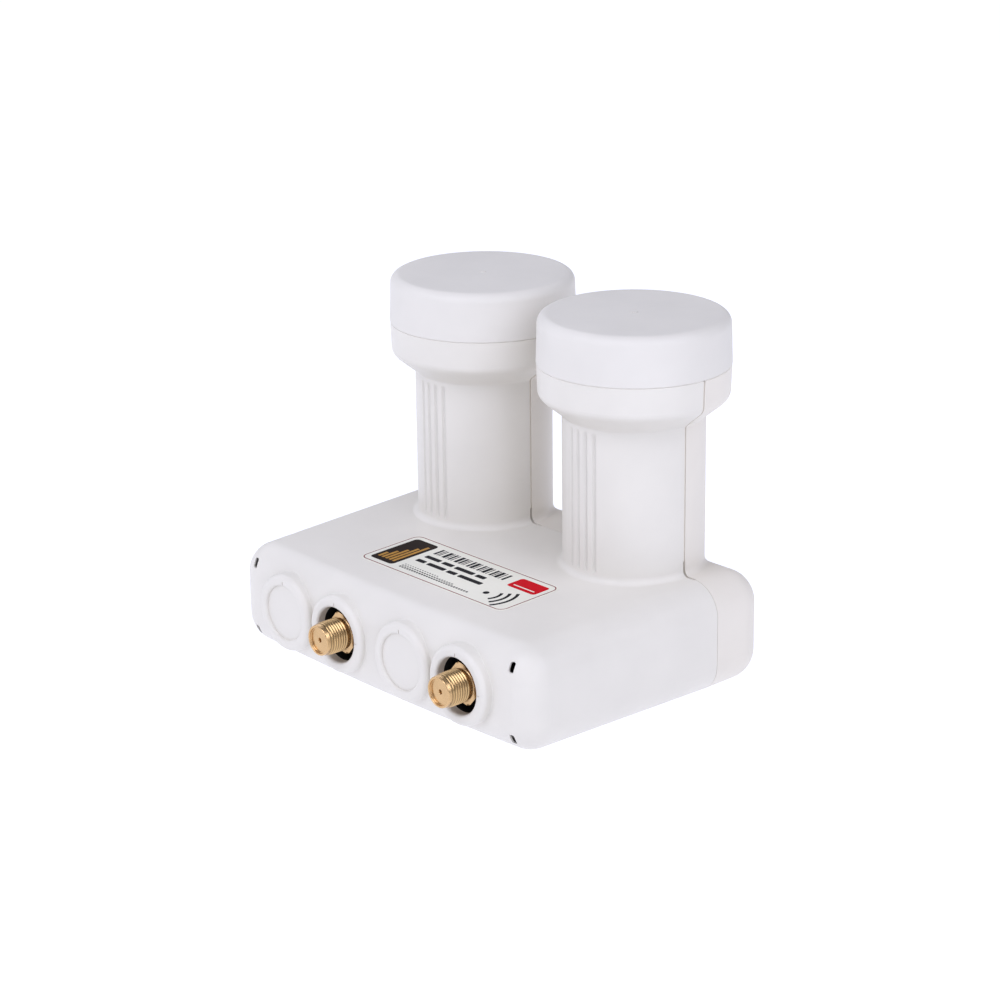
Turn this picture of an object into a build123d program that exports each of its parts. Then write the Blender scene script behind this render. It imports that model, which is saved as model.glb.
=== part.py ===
"""Satellite LNB with two feed horns on one flat case and two F connectors in a row of four ports.

Sizes are in millimetres. X runs along the row of ports, -Y is the port side and Z is up. The origin lies on
the underside, midway between the horns, on the plane in which the two housing shells meet.
"""
import math
import os

from build123d import *

# Necks and collars of the housing
horn_pitch = 62.5
neck_diameter = 40.0
neck_foot_round = 1.8
collar_diameter = 54.0
collar_taper = 0.3
collar_height = 90.0
collar_straight = 9.0
collar_slope = 5.5
collar_edge_round = 3.0
collar_root_round = 1.0
joint_chamfer = 0.2
groove_angles = (-102.75, -94.25, -85.75, -77.25)
groove_width = 1.3
groove_depth = 0.2
groove_margin = 1.2

# Case
wall = 2.0
case_width = 128.6
case_height = 32.3
case_front = 68.0
case_back = 20.2
front_bow = 2.1
top_draft = 2.0
side_draft = 1.4
edge_round = 9.2
front_round = 8.2
rear_round = 8.8

# Joint of the two shells
lip_length = 1.6
lip_clearance = 0.1
case_seam_width = 0.16
case_seam_depth = 0.15
neck_seam_width = 0.6
neck_seam_depth = 0.3
seam_floor = 2.0
notch_width = 0.8
notch_depth = 1.4

# Ports
port_pitch = 23.25
port_pair_pitch = 51.15
port_drop = 0.45
open_ports = ("left", "right")
port_hole_diameter = 16.0
port_hole_depth = 2.8
ring_diameter = 22.6
ring_lift = 2.0
ring_root = 6.0
ring_foot_round = 0.3
ring_edge_round = 1.5
hole_edge_round = 0.8
blank_recess = 0.9
tick_length = 1.5
tick_width = 0.35
tick_depth = 0.3
window_width = 1.7
window_height = 2.8
window_round = 0.6
window_inset = 9.3
window_margin = 4.75
window_skin = 0.5
window_relief = 1.5
cut_margin = 1.0

# Feed caps and their seals
cap_lip = 0.1
cap_taper = 0.45
cap_rise = 13.9
cap_wall = 2.1
cap_roof = 1.8
cap_edge_round = 2.8
gate_diameter = 1.8
gate_height = 0.2
seal_section = 1.8
seal_above_rim = 4.0
seal_clearance = 0.02

# Casting
guide_bore = 17.48
guide_wall = 2.5
flare_length = 19.0
flare_diameter = 29.0
flare_lip = 1.8
mouth_gap = 5.1
mouth_recess = 4.0
choke_wall = 1.2
choke_depth = 13.0
seat_gap = 0.2
tray_side_gap = 5.3
tray_front_gap = 1.5
tray_back_gap = 2.7
tray_wall = 3.0
tray_roof = 3.0
tray_depth = 7.0
tray_corner = 6.0
post_diameter = 7.0
post_inset = 9.0

# Board, cover, gasket and screws
board_thickness = 1.0
board_clearance = 0.3
probe_width = 1.4
probe_length = 5.0
gasket_thickness = 0.5
cover_thickness = 2.0
cup_wall = 1.7
screw_diameter = 3.0
screw_length = 6.0
screw_clearance = 0.05
cover_hole_clearance = 0.2
screw_head_diameter = 5.5
screw_head_height = 2.0
screw_head_round = 0.7
drive_length = 3.0
drive_width = 0.9
drive_depth = 1.1

# F connectors
thread_diameter = 9.525
connector_reach = 78.1
connector_chamfer = 0.5
hex_width = 11.0
hex_thickness = 4.0
hex_chamfer = 0.5
hex_turn = 20.0
shank_diameter = 8.0
shank_clearance = 0.05
face_recess = 0.4
face_recess_diameter = 7.4
face_thickness = 1.2
face_hole_diameter = 1.3
bore_diameter = 6.0
insulator_clearance = 0.05
contact_diameter = 1.7
contact_clearance = 0.05
contact_socket = 0.9
contact_socket_depth = 6.0
contact_tail_diameter = 1.0
contact_tail_length = 4.0
boot_base = 0.8
boot_wall = 0.9
boot_clearance = 0.1

# Label
label_length = 61.0
label_width = 23.0
label_corner = 3.0
label_thickness = 0.12
label_offset = 2.9
label_front = 40.7

# Ribs that hold the casting in the housing
rib_thickness = 1.6
rib_pitch = 50.0
rib_setback = 4.5
rear_rib_start = 4.0

# Sizes and places that follow from those above
neck_bore = neck_diameter / 2 - wall
groove_radius = (groove_width / 2)**2 / (2 * groove_depth) + groove_depth / 2
collar_foot = collar_diameter / 2 - collar_taper
horn_offsets = {"left": -horn_pitch / 2, "right": horn_pitch / 2}
neck_feet = {x + turn * neck_diameter / 2: turn for x in horn_offsets.values() for turn in (-1, 1)}
front_height = case_height - case_front * math.tan(math.radians(top_draft))
port_height = case_height / 2 - port_drop
port_near = (port_pair_pitch - port_pitch) / 2
port_far = (port_pair_pitch + port_pitch) / 2
port_offsets = {"left_blank": -port_far, "left": -port_near, "right_blank": port_near, "right": port_far}
ring_front = case_front + front_bow + ring_lift
window_offset = case_width / 2 - window_inset
window_heights = (window_margin, front_height - window_margin)
cap_radius = collar_diameter / 2 + cap_lip
cap_bore = cap_radius - cap_wall
cap_height = collar_height + cap_rise
mouth_height = cap_height - cap_roof - mouth_gap
flare_start = mouth_height - mouth_recess - flare_length
tray_width = case_width - 2 * (wall + tray_side_gap)
tray_front = case_front - wall - tray_front_gap
tray_back = case_back - wall - tray_back_gap
cup_reach = guide_bore / 2 + cup_wall + post_diameter / 2 + board_clearance
post_reach = max(tray_width / 2 - post_inset, horn_pitch / 2 + cup_reach)
post_rows = (post_inset - tray_front, tray_back - post_inset)
screw_places = [(x, y) for x in (-post_reach, 0, post_reach) for y in post_rows]
guide_roof = port_height + contact_tail_diameter / 2 + board_thickness
tray_rim = guide_roof - tray_depth
tray_top = guide_roof + tray_roof
cover_top = tray_rim - gasket_thickness
cover_bottom = cover_top - cover_thickness
board_bottom = guide_roof - board_thickness
hex_back = tray_front + boot_base
hex_front = hex_back + hex_thickness
boot_bore = port_hole_diameter + 2 * boot_clearance
boot_diameter = boot_bore + 2 * boot_wall
rib_offsets = (-rib_pitch / 2, rib_pitch / 2)
far = 4 * case_width


def case_section(depth, inset):
    """Outline of the case at a distance in front of the parting plane, or behind it if negative."""
    width = case_width - 2 * abs(depth) * math.tan(math.radians(side_draft)) - 2 * inset
    top = case_height - max(depth, 0) * math.tan(math.radians(top_draft)) - inset
    height = top - inset
    outline = RectangleRounded(width, height, edge_round - inset)
    return Plane.XZ.offset(depth) * Pos(0, inset + height / 2) * outline


def bow_radius():
    """Radius of the bowed front, from its rise over the width of the front."""
    half = case_width / 2 - case_front * math.tan(math.radians(side_draft))
    return (half**2 + front_bow**2) / (2 * front_bow)


def front_at(x):
    """Y of the case's front face at a place along the row of ports."""
    radius = bow_radius()
    return -case_front - front_bow + radius - math.sqrt(radius**2 - x**2)


def case_block(inset):
    """Solid form of the case, drafted both ways from the parting plane; with an inset, its hollow."""
    front = loft([case_section(0, inset), case_section(case_front + 2 * front_bow, inset)], ruled=True)
    bow_centre = Pos(0, bow_radius() - case_front - front_bow, case_height / 2)
    front = front & bow_centre * Cylinder(bow_radius() - inset, far)
    front = fillet(front.faces().sort_by(Axis.Y)[0].edges(), front_round - inset)
    rear = loft([case_section(0, inset), case_section(inset - case_back, inset)], ruled=True)
    rear = fillet(rear.faces().sort_by(Axis.Y)[-1].edges(), rear_round - inset)
    return front + rear


def slope_shift(inset):
    """Rise of the collar's slope where its wall is set inwards."""
    return inset * math.tan(math.atan2(collar_foot - neck_diameter / 2, collar_slope) / 2)


def horn_outline(inset, top):
    """Half outline of a neck and its collar on the XZ plane; with an inset, that of its hollow."""
    neck = neck_diameter / 2 - inset
    foot = collar_foot - inset
    rim = collar_diameter / 2 - inset
    foot_height = collar_height - collar_straight + slope_shift(inset)
    root_height = foot_height - collar_slope
    base = case_height / 2
    points = [(0, base), (neck, base), (neck, root_height), (foot, foot_height), (rim, top - joint_chamfer),
              (rim - joint_chamfer, top), (0, top)]
    outline = make_face(Polyline(*points, close=True))
    outline = fillet(outline.vertices().sort_by_distance((foot, foot_height))[0], collar_edge_round)
    outline = fillet(outline.vertices().sort_by_distance((neck, root_height))[0], collar_root_round)
    return Plane.XZ * outline


def horn_block(inset, top):
    """Both necks and collars as solids of revolution."""
    horn = revolve(horn_outline(inset, top), Axis.Z)
    return Compound(children=[Pos(x, 0, 0) * horn for x in horn_offsets.values()])


def parting_outline():
    """Outline of the whole housing in the plane where its shells meet."""
    half = horn_outline(0, collar_height)
    outline = case_section(0, 0)
    for x in horn_offsets.values():
        outline += Pos(x, 0, 0) * half
        outline += Pos(x, 0, 0) * mirror(half, Plane.YZ)
    feet = [outline.vertices().sort_by_distance((x, 0, case_height))[0] for x in neck_feet]
    return fillet(feet, neck_foot_round)


def seam_band(outline, width, depth, bottom, top):
    """Groove of a width and depth along the parting line, between two heights."""
    band = extrude(outline, width / 2, both=True)
    band = band - extrude(offset(outline, -depth, kind=Kind.INTERSECTION), width / 2, both=True)
    return band & Pos(0, 0, (bottom + top) / 2) * Box(far, far, top - bottom)


def seam_cutter(outline):
    """Shadow gap along the parting line, finer on the case, with a notch in the round of each neck's foot."""
    bend = case_height + neck_foot_round
    cutter = seam_band(outline, case_seam_width, case_seam_depth, seam_floor, bend)
    cutter = cutter + seam_band(outline, neck_seam_width, neck_seam_depth, bend, collar_height)
    disc = Rot(90, 0, 0) * Cylinder(neck_foot_round + notch_depth, notch_width)
    for foot, outward in neck_feet.items():
        cutter = cutter + Pos(foot + outward * neck_foot_round, 0, bend) * disc
    return cutter


def footed(body):
    """One half of the housing with a round where each neck stands on the case."""
    feet = []
    for x in horn_offsets.values():
        for edge in body.edges():
            points = [edge.position_at(share) for share in (0, 0.5, 1)]
            reaches = [math.hypot(p.X - x, p.Y) for p in points]
            near = all(math.isclose(reach, neck_diameter / 2, rel_tol=0.001) for reach in reaches)
            if near and all(case_height / 2 < p.Z < case_height + cut_margin for p in points):
                feet.append(edge)
    return fillet(feet, neck_foot_round)


def neck_grooves():
    """Fine upright flutes, round in section, on the port side of each neck."""
    top = collar_height - collar_straight - collar_slope - groove_margin
    bottom = case_height + neck_foot_round
    reach = neck_diameter / 2 + groove_radius - groove_depth
    flute = Pos(reach, 0, (top + bottom) / 2) * Cylinder(groove_radius, top - bottom)
    return [Pos(x, 0, 0) * Rot(0, 0, angle) * flute for x in horn_offsets.values() for angle in groove_angles]


def round_bar(x, diameter, start, end):
    """Cylinder on a port's axis between two Y values."""
    return Pos(x, (start + end) / 2, port_height) * Rot(90, 0, 0) * Cylinder(diameter / 2, abs(end - start))


def edges_round_port(body, x, radius, front, back):
    """Edges of a body that keep to a radius round a port's axis, between two Y values."""
    found = []
    for edge in body.edges():
        points = [edge.position_at(share) for share in (0, 0.5, 1)]
        reaches = [math.hypot(p.X - x, p.Z - port_height) for p in points]
        near = all(math.isclose(reach, radius, rel_tol=0.001) for reach in reaches)
        if near and all(front < p.Y < back for p in points):
            found.append(edge)
    return found


def fronted_case():
    """The case with a boss for each port; the bosses end in one plane and blend into the bowed front."""
    body = case_block(0)
    for x in port_offsets.values():
        body = body + round_bar(x, ring_diameter, -ring_front, front_at(x) + ring_root)
    feet = []
    lands = []
    middle = ring_lift / 2 - ring_front
    for x in port_offsets.values():
        feet += edges_round_port(body, x, ring_diameter / 2, middle, front_at(x) + ring_root)
    body = fillet(feet, ring_foot_round)
    for x in port_offsets.values():
        lands += edges_round_port(body, x, ring_diameter / 2, -ring_front - cut_margin, middle)
    return fillet(lands, ring_edge_round)


def sunk_port(body, x, depth):
    """Sink a port's bore to a depth below its ring, and round the ring's inner edge."""
    start = -ring_front - cut_margin
    body = body - round_bar(x, port_hole_diameter, start, depth - ring_front)
    rim = edges_round_port(body, x, port_hole_diameter / 2, start, hole_edge_round / 2 - ring_front)
    return fillet(rim, hole_edge_round)


def open_port(body, x):
    """Open a port through the front, with a wider seat behind it for the connector's rubber boot."""
    seat = port_hole_depth - ring_front
    body = sunk_port(body, x, port_hole_depth)
    return body - round_bar(x, boot_diameter + 2 * boot_clearance, seat, seat + ring_root)


def tick(x, angle):
    """Small mark across a ring's inner edge."""
    arm = Pos(port_hole_diameter / 2 + tick_length / 2, 0, 0) * Box(tick_length, 2 * tick_depth, tick_width)
    return Pos(x, -ring_front, port_height) * Rot(0, -angle, 0) * arm


def window_cutter(x, height, skin):
    """Slot through the front near one corner, with a wider pocket behind its thin skin."""
    depth = 2 * front_round
    outline = RectangleRounded(window_width, window_height, window_round)
    slot = extrude(Plane.XZ * outline, depth / 2, both=True)
    pocket = Box(window_width + 2 * window_relief, depth, window_height + 2 * window_relief)
    place = Pos(x, front_at(x), height)
    return place * slot + (place * pocket & skin)


def ribs(ends, bottom, top, core):
    """Thin ribs along Y between two heights, ending within the walls of the housing."""
    length = ends[1] - ends[0]
    middle = (ends[0] + ends[1]) / 2
    bar = Pos(0, middle, (bottom + top) / 2) * Box(rib_thickness, length, top - bottom)
    return Compound(children=[Pos(x, 0, 0) * bar & core for x in rib_offsets])


def housing():
    """The front and rear shells of the housing."""
    hollow = case_block(wall) + horn_block(wall, collar_height + wall)
    outline = parting_outline()
    body = fronted_case()
    for name, x in port_offsets.items():
        if name in open_ports:
            body = open_port(body, x)
        else:
            body = sunk_port(body, x, blank_recess)
    body = body + horn_block(0, collar_height)
    seam = seam_cutter(outline)
    front = footed(split(body, Plane.XZ, keep=Keep.TOP)) - hollow - seam
    rear = footed(split(body, Plane.XZ, keep=Keep.BOTTOM)) - hollow - seam

    mid_wall = offset(outline, -wall / 2, kind=Kind.INTERSECTION)
    lip_outline = offset(outline, -wall / 2 - lip_clearance, kind=Kind.INTERSECTION)
    front = front - extrude(mid_wall, lip_length + lip_clearance)
    rear = rear + (extrude(lip_outline, lip_length) - hollow)

    core = case_block(wall / 2)
    front_ends = (rib_setback - tray_front, -neck_bore)
    front = front + ribs(front_ends, 0, cover_bottom, core)
    front = front + ribs(front_ends, tray_top, case_height, core)
    rear = rear + ribs((rear_rib_start, tray_back), 0, cover_bottom, core)

    for name, x in port_offsets.items():
        if name in open_ports:
            front = front - tick(x, 0)
        front = front - tick(x, 90)
    skin = case_block(window_skin)
    for side in (-1, 1):
        for height in window_heights:
            front = front - window_cutter(side * window_offset, height, skin)
    for groove in neck_grooves():
        front = front - groove
    return front, rear


def feed_cap():
    """Cup over a horn mouth, with its rim on the collar and the moulding gate's nub in the middle."""
    top = cap_radius - cap_taper
    roof = cap_height - cap_roof
    points = [(0, roof), (cap_bore - cap_roof, roof), (cap_bore, roof - cap_roof), (cap_bore, collar_height),
              (cap_radius - joint_chamfer, collar_height), (cap_radius, collar_height + joint_chamfer),
              (top, cap_height), (0, cap_height)]
    profile = make_face(Polyline(*points, close=True))
    edge = profile.vertices().sort_by_distance((top, cap_height))[0]
    profile = Plane.XZ * fillet(edge, cap_edge_round)
    gate = Pos(0, 0, cap_height) * Cylinder(gate_diameter / 2, 2 * gate_height)
    return revolve(profile, Axis.Z) + gate


def cap_seal():
    """O-ring between the horn mouth's groove and the cap's bore."""
    section = seal_section / 2 - seal_clearance
    return Pos(0, 0, collar_height + seal_above_rim) * Torus(cap_bore - seal_section / 2, section)


def horn_casting():
    """Wave guide with its flared mouth, choke ring and the groove for the cap's seal."""
    mouth = collar_foot - wall - seat_gap
    rise = collar_slope / (collar_foot - neck_diameter / 2)
    mouth_foot = collar_height - collar_straight + slope_shift(wall) + collar_edge_round / 2
    guide = guide_bore / 2 + guide_wall
    guide_top = mouth_foot - (mouth - guide) * rise
    groove = cap_bore - seal_section
    groove_half = seal_section / 2 + seat_gap
    seal_height = collar_height + seal_above_rim
    choke = groove - choke_wall
    choke_floor = mouth_height - choke_depth
    flare = flare_diameter / 2
    points = [(guide_bore / 2, guide_roof), (guide, guide_roof), (guide, guide_top), (mouth, mouth_foot),
              (mouth, seal_height - groove_half), (groove, seal_height - groove_half),
              (groove, seal_height + groove_half), (mouth, seal_height + groove_half), (mouth, mouth_height),
              (choke, mouth_height), (choke, choke_floor), (flare + flare_lip, choke_floor),
              (flare + flare_lip, mouth_height - mouth_recess), (flare, mouth_height - mouth_recess),
              (guide_bore / 2, flare_start)]
    return revolve(Plane.XZ * make_face(Polyline(*points, close=True)), Axis.Z)


def tray_plate(inset, bottom, top):
    """Rounded plate of the tray's outline, or smaller by an inset, between two heights."""
    length = tray_front + tray_back
    middle = Pos(0, (tray_back - tray_front) / 2, bottom)
    outline = RectangleRounded(tray_width - 2 * inset, length - 2 * inset, tray_corner - inset)
    return extrude(middle * outline, top - bottom)


def upright(places, diameter, bottom, top):
    """Upright round bars at a list of places, between two heights."""
    bar = Pos(0, 0, (bottom + top) / 2) * Cylinder(diameter / 2, top - bottom)
    return Compound(children=[Pos(x, y, 0) * bar for x, y in places])


def body_casting():
    """One casting: the tray with its screw posts, and both horns standing on it."""
    guides = [(x, 0) for x in horn_offsets.values()]
    tray = tray_plate(0, tray_rim, tray_top) - tray_plate(tray_wall, tray_rim, guide_roof)
    tray = tray + upright(screw_places, post_diameter, tray_rim, guide_roof)
    tray = tray - upright(screw_places, screw_diameter + 2 * screw_clearance, tray_rim, guide_roof)
    tray = tray - upright(guides, guide_bore, tray_rim, tray_top)
    for x in horn_offsets.values():
        tray = tray + Pos(x, 0, 0) * horn_casting()
    for name in open_ports:
        shank = shank_diameter + 2 * shank_clearance
        tray = tray - round_bar(port_offsets[name], shank, -tray_front, tray_wall - tray_front)
    return tray


def circuit_board():
    """Board in the tray; each horn's opening has two probes at right angles."""
    guides = [(x, 0) for x in horn_offsets.values()]
    board = tray_plate(tray_wall + board_clearance, board_bottom, guide_roof)
    board = board - upright(screw_places, post_diameter + 2 * board_clearance, board_bottom, guide_roof)
    board = board - upright(guides, guide_bore, board_bottom, guide_roof)
    length = probe_length + probe_width
    reach = guide_bore / 2 - probe_length + length / 2
    probe = Pos(reach, 0, board_bottom + board_thickness / 2) * Box(length, probe_width, board_thickness)
    for x in horn_offsets.values():
        board = board + Pos(x, 0, 0) * probe + Pos(x, 0, 0) * Rot(0, 0, -90) * probe
    return board


def shield_cover():
    """Cover of the tray with a back-short cup under each wave guide and holes for the screws."""
    guides = [(x, 0) for x in horn_offsets.values()]
    cover = tray_plate(0, cover_bottom, cover_top)
    cups = upright(guides, guide_bore + 2 * cup_wall, cover_top, board_bottom)
    cover = cover + cups - upright(guides, guide_bore, cover_top, board_bottom)
    return cover - upright(screw_places, screw_diameter + 2 * cover_hole_clearance, cover_bottom, cover_top)


def cover_gasket():
    """Flat gasket between the tray's rim and the cover."""
    return tray_plate(0, cover_top, tray_rim) - tray_plate(tray_wall, cover_top, tray_rim)


def cover_screws():
    """Cross-head screws that hold the cover to the tray's posts."""
    head = Cylinder(screw_head_diameter / 2, screw_head_height)
    head = Pos(0, 0, cover_bottom - screw_head_height / 2) * head
    head = fillet(head.edges().sort_by(Axis.Z)[0], screw_head_round)
    shank = Pos(0, 0, cover_bottom + screw_length / 2) * Cylinder(screw_diameter / 2, screw_length)
    screw = head + shank
    for turn in (0, 90):
        slot = Rot(0, 0, turn) * Box(drive_length, drive_width, 2 * drive_depth)
        screw = screw - Pos(0, 0, cover_bottom - screw_head_height) * slot
    return Compound(children=[Pos(x, y, 0) * screw for x, y in screw_places])


def connector_body(x):
    """F connector: threaded nose, hexagon as turned when tightened, and the shank held in the casting."""
    nose = round_bar(x, thread_diameter, -connector_reach, -hex_back)
    nose = chamfer(nose.edges().sort_by(Axis.Y)[0], connector_chamfer)
    outline = RegularPolygon(hex_width / 2, 6, major_radius=False, rotation=90 + hex_turn)
    hexagon = Plane.XZ.offset(hex_back) * Pos(x, port_height) * outline
    nut = extrude(hexagon, hex_thickness)
    corner = hex_width / math.sqrt(3)
    blank = round_bar(x, 2 * corner, -hex_front, -hex_back)
    nut = nut & chamfer(blank.edges().sort_by(Axis.Y)[0], hex_chamfer)
    body = nose + nut + round_bar(x, shank_diameter, -hex_back, tray_wall - tray_front)
    body = body - round_bar(x, face_recess_diameter, -connector_reach, face_recess - connector_reach)
    body = body - round_bar(x, face_hole_diameter, -connector_reach, 0)
    return body - round_bar(x, bore_diameter, face_recess + face_thickness - connector_reach, 0)


def insulator(x):
    """Insulating sleeve in the connector's bore."""
    start = face_recess + face_thickness - connector_reach
    end = tray_wall - tray_front
    sleeve = round_bar(x, bore_diameter - 2 * insulator_clearance, start, end)
    return sleeve - round_bar(x, contact_diameter + 2 * contact_clearance, start, end)


def contact(x):
    """Centre contact: a socket towards the cable, and a tail that lies under the board."""
    start = face_recess + face_thickness - connector_reach
    end = tray_wall - tray_front
    pin = round_bar(x, contact_diameter, start, end)
    pin = pin + round_bar(x, contact_tail_diameter, end, end + contact_tail_length)
    return pin - round_bar(x, contact_socket, start, start + contact_socket_depth)


def connector_seal(x):
    """Rubber boot: its base lies under the hexagon, and its rim sits behind the port's ring."""
    rim_front = port_hole_depth + boot_clearance - ring_front
    cup = round_bar(x, boot_diameter, rim_front, -tray_front) - round_bar(x, boot_bore, rim_front, -hex_back)
    return cup - round_bar(x, shank_diameter + 2 * shank_clearance, -hex_back, -tray_front)


def type_label():
    """Thin film on the drafted top of the case."""
    angle = math.radians(top_draft)
    height = case_height - label_front * math.tan(angle)
    upright_axis = (0, -math.sin(angle), math.cos(angle))
    top = Plane(origin=(label_offset, -label_front, height), x_dir=(1, 0, 0), z_dir=upright_axis)
    return extrude(top * RectangleRounded(label_length, label_width, label_corner), label_thickness)


def main():
    """Build every piece and write it under its node name."""
    front, rear = housing()
    pieces = {"front_shell": front, "rear_shell": rear, "body_casting": body_casting(),
              "circuit_board": circuit_board(), "shield_cover": shield_cover(),
              "cover_gasket": cover_gasket(), "cover_screws": cover_screws(), "type_label": type_label()}
    for side, x in horn_offsets.items():
        pieces[f"{side}_feed_cap"] = Pos(x, 0, 0) * feed_cap()
        pieces[f"{side}_cap_seal"] = Pos(x, 0, 0) * cap_seal()
    for side in open_ports:
        x = port_offsets[side]
        pieces[f"{side}_connector"] = connector_body(x)
        pieces[f"{side}_insulator"] = insulator(x)
        pieces[f"{side}_contact"] = contact(x)
        pieces[f"{side}_connector_seal"] = connector_seal(x)
    os.makedirs("parts", exist_ok=True)
    for name, piece in pieces.items():
        export_step(piece, f"parts/{name}.step")


if __name__ == "__main__":
    main()
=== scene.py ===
"""Looks of a satellite LNB with two feed horns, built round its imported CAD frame.

Lengths are in metres, in the frame of the CAD model: X along the row of ports, -Y the port side, Z up.
"""

import logging
import math
from dataclasses import dataclass, field, replace
from enum import Enum

import bmesh
import bpy
from mathutils import Matrix, Vector


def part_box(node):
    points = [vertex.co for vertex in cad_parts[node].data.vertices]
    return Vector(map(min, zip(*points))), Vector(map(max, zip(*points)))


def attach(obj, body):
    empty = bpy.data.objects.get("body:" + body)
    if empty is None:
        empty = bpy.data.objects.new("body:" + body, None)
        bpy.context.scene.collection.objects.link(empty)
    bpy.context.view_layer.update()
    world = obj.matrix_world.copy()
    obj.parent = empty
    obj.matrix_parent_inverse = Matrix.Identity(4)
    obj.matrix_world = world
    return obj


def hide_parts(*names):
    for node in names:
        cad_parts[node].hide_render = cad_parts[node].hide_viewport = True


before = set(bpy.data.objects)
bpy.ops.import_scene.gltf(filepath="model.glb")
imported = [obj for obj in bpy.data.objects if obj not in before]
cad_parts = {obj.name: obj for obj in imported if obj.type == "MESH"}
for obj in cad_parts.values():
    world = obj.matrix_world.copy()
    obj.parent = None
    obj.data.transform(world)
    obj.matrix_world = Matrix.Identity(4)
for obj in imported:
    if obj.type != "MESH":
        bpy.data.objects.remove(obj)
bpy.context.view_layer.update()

Colour = tuple[float, float, float]
Flat = tuple[float, float]

LOG = logging.getLogger("lnb")
MM = 0.001
BODY = "root"
AIM = Vector((0.0, 0.0, 0.05))  # spot that the softboxes face
LIGHT_TINT: Colour = (0.855, 0.876, 1.0)  # the studio's light is cool
PATCH_ENDS: Flat = (0.3, 0.7)  # noise values between which a patch of colour fades
PATCH_OCTAVES = 3.0
SHEEN_OCTAVES = 2.0
SHEEN_RATIO = 6.0  # how much finer the roughness varies than the colour
WAVE_OCTAVES = 1.0
GRAIN_OCTAVES = 2.0
HEX_SECTOR = math.pi / 3  # angle from corner to corner of a hexagon
MADE: dict[str, bpy.types.Material] = {}  # materials made so far, by name


class Side(Enum):
    """The two halves of the set, seen from the ports."""

    LEFT = "left"
    RIGHT = "right"


class RingForm(Enum):
    """Outline of a ring of a turned piece."""

    ROUND = "round"
    THREAD = "thread"
    HEXAGON = "hexagon"


class MetalSlot(Enum):
    """Material slots of a connector's body."""

    PLATE = 0
    THREAD = 1


class Ink(Enum):
    """Inks of the label, by the material slot that holds each."""

    GROUND = 0
    BORDER = 1
    DARK = 2
    BROWN = 3
    GOLD = 4
    RED = 5


@dataclass(frozen=True)
class NodeBench:
    """The node tree of a material, and the steps that a finish adds to it.

    Attributes:
        tree: the node tree.
        shader: its Principled shader.
        place: texture coordinates of the surface.
    """

    tree: bpy.types.NodeTree
    shader: bpy.types.Node
    place: bpy.types.NodeSocket

    def feed(self, name: str, value: bpy.types.NodeSocket) -> None:
        """Link a value to an input of the shader."""
        self.tree.links.new(value, self.shader.inputs[name])

    def noise(self, scale: float, octaves: float) -> bpy.types.NodeSocket:
        """Add a noise texture.

        Args:
            scale: features per metre.
            octaves: octaves of detail.

        Returns:
            The noise as a number from 0 to 1.
        """
        texture = self.tree.nodes.new("ShaderNodeTexNoise")
        texture.inputs["Scale"].default_value = scale
        texture.inputs["Detail"].default_value = octaves
        self.tree.links.new(self.place, texture.inputs["Vector"])
        return texture.outputs["Fac"]

    def maths(self, operation: str, *values: bpy.types.NodeSocket | float) -> bpy.types.NodeSocket:
        """Add a step of arithmetic.

        Args:
            operation: name of the operation.
            values: sockets or numbers to work on.

        Returns:
            The result.
        """
        node = self.tree.nodes.new("ShaderNodeMath")
        node.operation = operation
        for socket, value in zip(node.inputs, values):
            if isinstance(value, float):
                socket.default_value = value
            else:
                self.tree.links.new(value, socket)
        return node.outputs["Value"]

    def span(self, value: bpy.types.NodeSocket, start: float, end: float, first: float = 0.0,
             last: float = 1.0) -> bpy.types.NodeSocket:
        """Map a span of a value to another, and hold it at the ends.

        Args:
            value: the value.
            start: where the span starts.
            end: where it ends.
            first: result at the start.
            last: result at the end.

        Returns:
            The result.
        """
        node = self.tree.nodes.new("ShaderNodeMapRange")
        limits = {"From Min": start, "From Max": end, "To Min": first, "To Max": last}
        for name, number in limits.items():
            node.inputs[name].default_value = number
        self.tree.links.new(value, node.inputs["Value"])
        return node.outputs["Result"]

    def axes(self) -> tuple[bpy.types.NodeSocket, ...]:
        """Split the texture coordinates.

        Returns:
            Their X, Y and Z.
        """
        parts = self.tree.nodes.new("ShaderNodeSeparateXYZ")
        self.tree.links.new(self.place, parts.inputs["Vector"])
        return tuple(parts.outputs[axis] for axis in ("X", "Y", "Z"))

    def shade(self, share: bpy.types.NodeSocket) -> None:
        """Paint shade into the colour: multiply the shader's colour by a share.

        Args:
            share: the share of the colour that is left.
        """
        shaded = self.tree.nodes.new("ShaderNodeVectorMath")
        shaded.operation = "SCALE"
        self.tree.links.new(self.shader.inputs["Base Color"].links[0].from_socket, shaded.inputs[0])
        self.tree.links.new(share, shaded.inputs["Scale"])
        self.feed("Base Color", shaded.outputs["Vector"])

    def bump(self, height: bpy.types.NodeSocket, distance: float,
             below: bpy.types.NodeSocket | None = None) -> bpy.types.NodeSocket:
        """Add a bump.

        Args:
            height: height from 0 to 1.
            distance: height of the bump in metres.
            below: normal of a coarser bump, if there is one.

        Returns:
            The bumped normal.
        """
        node = self.tree.nodes.new("ShaderNodeBump")
        node.inputs["Distance"].default_value = distance
        self.tree.links.new(height, node.inputs["Height"])
        if below is not None:
            self.tree.links.new(below, node.inputs["Normal"])
        return node.outputs["Normal"]


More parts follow.
